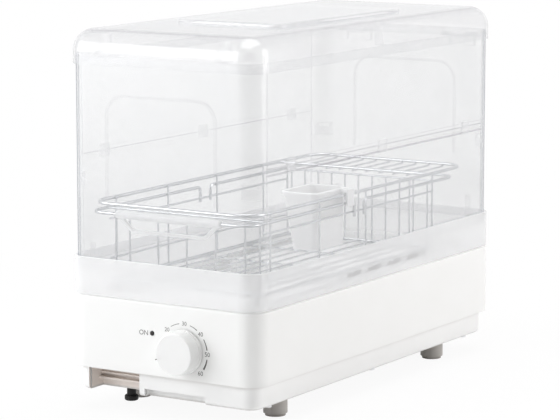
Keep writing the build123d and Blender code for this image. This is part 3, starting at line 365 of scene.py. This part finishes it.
# Rack: drawn stainless wire, bent, spot welded and electropolished bright. It stands on
# its legs in the basin.
wire = plated("electropolished_stainless_wire", "#d0d2d4", 0.2, 1.5)
dress(wire, "rack_rim", "rack_floor", "rack_near_side", "rack_far_side", "rack_front_end",
      "rack_rear_end", "rack_front_handle", "rack_rear_handle", "rack_shelf")

# Grip and cutlery holder: white moulded polypropylene with a waxy sheen. The grip is moulded
# round the rack's front bar, and the holder hooks over its rim.
waxy_pp = moulded("waxy_white_polypropylene", "#fafafa", "#f5f5f5", 0.34, 1.0, 0.03)
dress(waxy_pp, "front_grip", "cutlery_holder")

# Hood: frosted see-through polypropylene, moulded as end walls, folding long walls and a
# ring, and clipped together. Seen square on it is a thin white haze; towards its edges the haze
# thickens and greys, because the line of sight runs further through the wall.


def see_through(name, tone, dark, rim, haze, edge, rough, grain_mm, depth_mm, onward=0.5, lines=None,
                line_tone="#c2c0c4", turn=None):
    # Part of the light goes straight through; the rest meets a veil that throws some of it onward and the
    # rest back. A thin gloss lies over both. The grain is drawn coarser than the real one so that it shows.
    # Lines are bands with a tone and a thicker veil of their own: painted shade under a rib and along an
    # arch, a dark joint, and painted light across the ring's ends.
    # Turn is the span of slant over which the haze thickens at an upright corner.
    cloud_mm, haze_spread, line_veil, relief_share = 45, 0.1, 0.2, 0.25
    edge_power, gloss_power, gloss_edge, gloss_flat = 4.5, 5.0, 0.9, 0.035
    made = bpy.data.materials.new(name)
    tree = blank_tree(made)
    where = add_node(tree, "ShaderNodeTexCoord").outputs["Object"]
    slant = add_node(tree, "ShaderNodeLayerWeight", {"Blend": 0.5}).outputs["Facing"]
    cloud = add_node(tree, "ShaderNodeTexNoise", {"Scale": mm_per_m / cloud_mm, "Detail": 2.0},
                     {"Vector": where})
    grain = add_node(tree, "ShaderNodeTexNoise", {"Scale": mm_per_m / grain_mm, "Detail": 2.0},
                     {"Vector": where})
    tint = add_node(tree, "ShaderNodeMix", {"data_type": "RGBA", 6: linear(tone), 7: linear(dark)},
                    {0: cloud.outputs["Fac"]})
    turned = calc(tree, "POWER", slant, edge_power)
    if turn:
        facing = add_node(tree, "ShaderNodeNewGeometry").outputs["Normal"]
        lying = calc(tree, "ABSOLUTE", add_node(tree, "ShaderNodeSeparateXYZ", None, {0: facing}).outputs[2])
        span = {"interpolation_type": "SMOOTHSTEP", 1: turn[0], 2: turn[1]}
        bent = add_node(tree, "ShaderNodeMapRange", span, {0: slant}).outputs[0]
        bent = calc(tree, "MULTIPLY", bent, calc(tree, "SUBTRACT", 1.0, lying))
        turned = calc(tree, "MAXIMUM", turned, bent)
    tint = add_node(tree, "ShaderNodeMix", {"data_type": "RGBA", 7: linear(rim)},
                    {0: turned, 6: tint.outputs[2]})
    veil = add_node(tree, "ShaderNodeMapRange", {3: haze * (1 - haze_spread), 4: haze * (1 + haze_spread)},
                    {0: cloud.outputs["Fac"]}).outputs[0]
    if lines:
        # The share of a band of painted shade, painted light or joint line
        painted_line_share = lines(tree, where)
        tint = add_node(tree, "ShaderNodeMix", {"data_type": "RGBA", 7: linear(line_tone)},
                        {0: painted_line_share, 6: tint.outputs[2]})
        veil = calc(tree, "MULTIPLY_ADD", painted_line_share, line_veil, veil)
    relief = add_node(tree, "ShaderNodeBump", {"Strength": relief_share, "Distance": depth_mm / mm_per_m},
                      {"Height": grain.outputs["Fac"]})
    skin = add_node(tree, "ShaderNodeBsdfPrincipled", {"Roughness": 0.8, "Specular IOR Level": 0.0},
                    {"Base Color": tint.outputs[2], "Normal": relief.outputs[0]})
    glow = add_node(tree, "ShaderNodeBsdfTranslucent", None,
                    {"Color": tint.outputs[2], "Normal": relief.outputs[0]})
    milk = add_node(tree, "ShaderNodeMixShader", {0: onward}, {1: skin.outputs[0], 2: glow.outputs[0]})
    clear = add_node(tree, "ShaderNodeBsdfTransparent", {"Color": linear("#ffffff")})
    share = calc(tree, "MINIMUM", calc(tree, "MULTIPLY_ADD", turned, edge, veil), 1.0)
    body = add_node(tree, "ShaderNodeMixShader", None, {0: share, 1: clear.outputs[0], 2: milk.outputs[0]})
    gloss = add_node(tree, "ShaderNodeBsdfGlossy", {"Color": linear("#ffffff"), "Roughness": rough},
                     {"Normal": relief.outputs[0]})
    weight = calc(tree, "MULTIPLY_ADD", calc(tree, "POWER", slant, gloss_power), gloss_edge, gloss_flat)
    both = add_node(tree, "ShaderNodeMixShader", None, {0: weight, 1: body.outputs[0], 2: gloss.outputs[0]})
    add_node(tree, "ShaderNodeOutputMaterial", None, {"Surface": both.outputs[0]})
    return made


def arch_painted_shade(tree, where):
    # Painted shade along the edge of the raised arch on an end wall, two upright legs and a rounded top,
    # drawn stronger at the rear
    half_w, top, foot, corner, line = 0.068, 0.339, 0.231, 0.022, 0.0015
    line_core, line_end, wall_y = 0.7, 1.2, 0.25
    front_share, rear_share = 0.25, 0.5
    x, y, z = add_node(tree, "ShaderNodeSeparateXYZ", None, {0: where}).outputs
    across = calc(tree, "SUBTRACT", calc(tree, "ABSOLUTE", x), half_w - corner)
    above = calc(tree, "SUBTRACT", z, top - corner)
    past = {0: calc(tree, "MAXIMUM", across, 0.0), 1: calc(tree, "MAXIMUM", above, 0.0)}
    past = add_node(tree, "ShaderNodeCombineXYZ", None, past).outputs[0]
    outside = add_node(tree, "ShaderNodeVectorMath", {"operation": "LENGTH"}, {0: past}).outputs["Value"]
    deep = calc(tree, "MINIMUM", calc(tree, "MAXIMUM", across, above), 0.0)
    away = calc(tree, "ABSOLUTE", calc(tree, "SUBTRACT", calc(tree, "ADD", outside, deep), corner))
    near = add_node(tree, "ShaderNodeMapRange", {1: line * line_core, 2: line * line_end, 3: 1.0, 4: 0.0},
                    {0: away}).outputs[0]
    strength = add_node(tree, "ShaderNodeMapRange", {1: -wall_y, 2: wall_y, 3: front_share, 4: rear_share},
                        {0: y}).outputs[0]
    return calc(tree, "MULTIPLY", calc(tree, "MULTIPLY", near, strength), calc(tree, "GREATER_THAN", z, foot))


def fold_shadow_and_joint_line(tree, where):
    # The fold of a long wall: a painted shadow line under its rib and a finer dark joint where the halves
    # meet, both much fainter on the far wall
    rib_shadow_span, meeting_span, meeting_share = (0.2632, 0.2653), (0.2705, 0.2721), 0.5
    inner_x, far_share = 0.05, 0.1
    across, _, height = add_node(tree, "ShaderNodeSeparateXYZ", None, {0: where}).outputs
    # Painted shadow under the rib
    under = within(tree, height, *rib_shadow_span)
    meeting = within(tree, height, *meeting_span)
    near = add_node(tree, "ShaderNodeMapRange", {1: -inner_x, 2: inner_x, 3: far_share, 4: 1.0},
                    {0: across}).outputs[0]
    return calc(tree, "MULTIPLY", calc(tree, "MULTIPLY_ADD", meeting, meeting_share, under), near)


def ring_ends_painted_light(tree, where):
    # The ring is drawn milkier and whiter across its two ends, painted light for the brighter light seen
    # through them
    mid_y, side_end, full_end, end_share = 0.0058, 0.238, 0.252, 0.7
    along = add_node(tree, "ShaderNodeSeparateXYZ", None, {0: where}).outputs[1]
    out = calc(tree, "ABSOLUTE", calc(tree, "SUBTRACT", along, mid_y))
    return add_node(tree, "ShaderNodeMapRange", {1: side_end, 2: full_end, 3: 0.0, 4: end_share},
                    {0: out}).outputs[0]


frosted_pp = "#f3f3f4", "#ecedee", "#868c95", 0.175, 0.8, 0.25, 1.0, 0.03
wall_turn = 0.5, 0.85
# The long walls carry a painted shadow under their rib
frosted_long = see_through("frosted_polypropylene_long", *frosted_pp, lines=fold_shadow_and_joint_line, turn=wall_turn)
dress(frosted_long, "near_upper_panel", "near_lower_panel", "far_upper_panel", "far_lower_panel")
# The end walls carry painted shade along their arch
frosted_end = see_through("frosted_polypropylene_end", *frosted_pp, lines=arch_painted_shade, turn=wall_turn)
dress(frosted_end, "hood_front_wall", "hood_rear_wall")
# The ring's ends carry painted light, milkier and whiter than its sides
ring_pp = see_through("milky_ring_polypropylene", "#fdfdfd", "#f9f9fa", "#a4a8ae", 0.36, 0.5, 0.25, 1.0, 0.03,
                      onward=0.12, lines=ring_ends_painted_light, line_tone="#ffffff")
dress(ring_pp, "lower_ring")

# Hinge clips, pegs, pins and latches: small snap-in mouldings of the same plastic. The latch
# plates are drawn clearer than the rest.
clip_pp = see_through("clip_polypropylene", "#f9f9f9", "#f4f4f4", "#cfd1d4", 0.17, 0.4, 0.3, 1.0, 0.03)
dress(clip_pp, "near_hinge_clips", "far_hinge_clips", "ring_pegs", "lid_hinge_pins")
latch_pp = see_through("thin_latch_polypropylene", "#ffffff", "#fafafa", "#e0e2e5", 0.09, 0.3, 0.3, 1.0, 0.03)
dress(latch_pp, "corner_latches")

# Lid: clear glossy polystyrene, thick and rolled at its edge. Towards the top of the roll the line of sight
# runs along the bend; that greying, and the line it ends in, are painted in by height.


def roll_painted_grey(tree, where):
    # A painted grey band up the roll and a painted line at its top
    bend_from, bend_full, bend_share = 0.396, 0.4055, 0.35
    line_low, line_high, line_share = 0.4046, 0.4061, 0.6
    height = add_node(tree, "ShaderNodeSeparateXYZ", None, {0: where}).outputs[2]
    bend = add_node(tree, "ShaderNodeMapRange", {1: bend_from, 2: bend_full, 3: 0.0, 4: bend_share},
                    {0: height}).outputs[0]
    bend = calc(tree, "MULTIPLY", bend, calc(tree, "LESS_THAN", height, line_high))
    return calc(tree, "MULTIPLY_ADD", within(tree, height, line_low, line_high), line_share, bend)


lid_ps = see_through("clear_polystyrene", "#f1f1f3", "#eaeaec", "#b8bbc0", 0.12, 0.6, 0.14, 2.0, 0.01,
                     lines=roll_painted_grey)
dress(lid_ps, "lid")
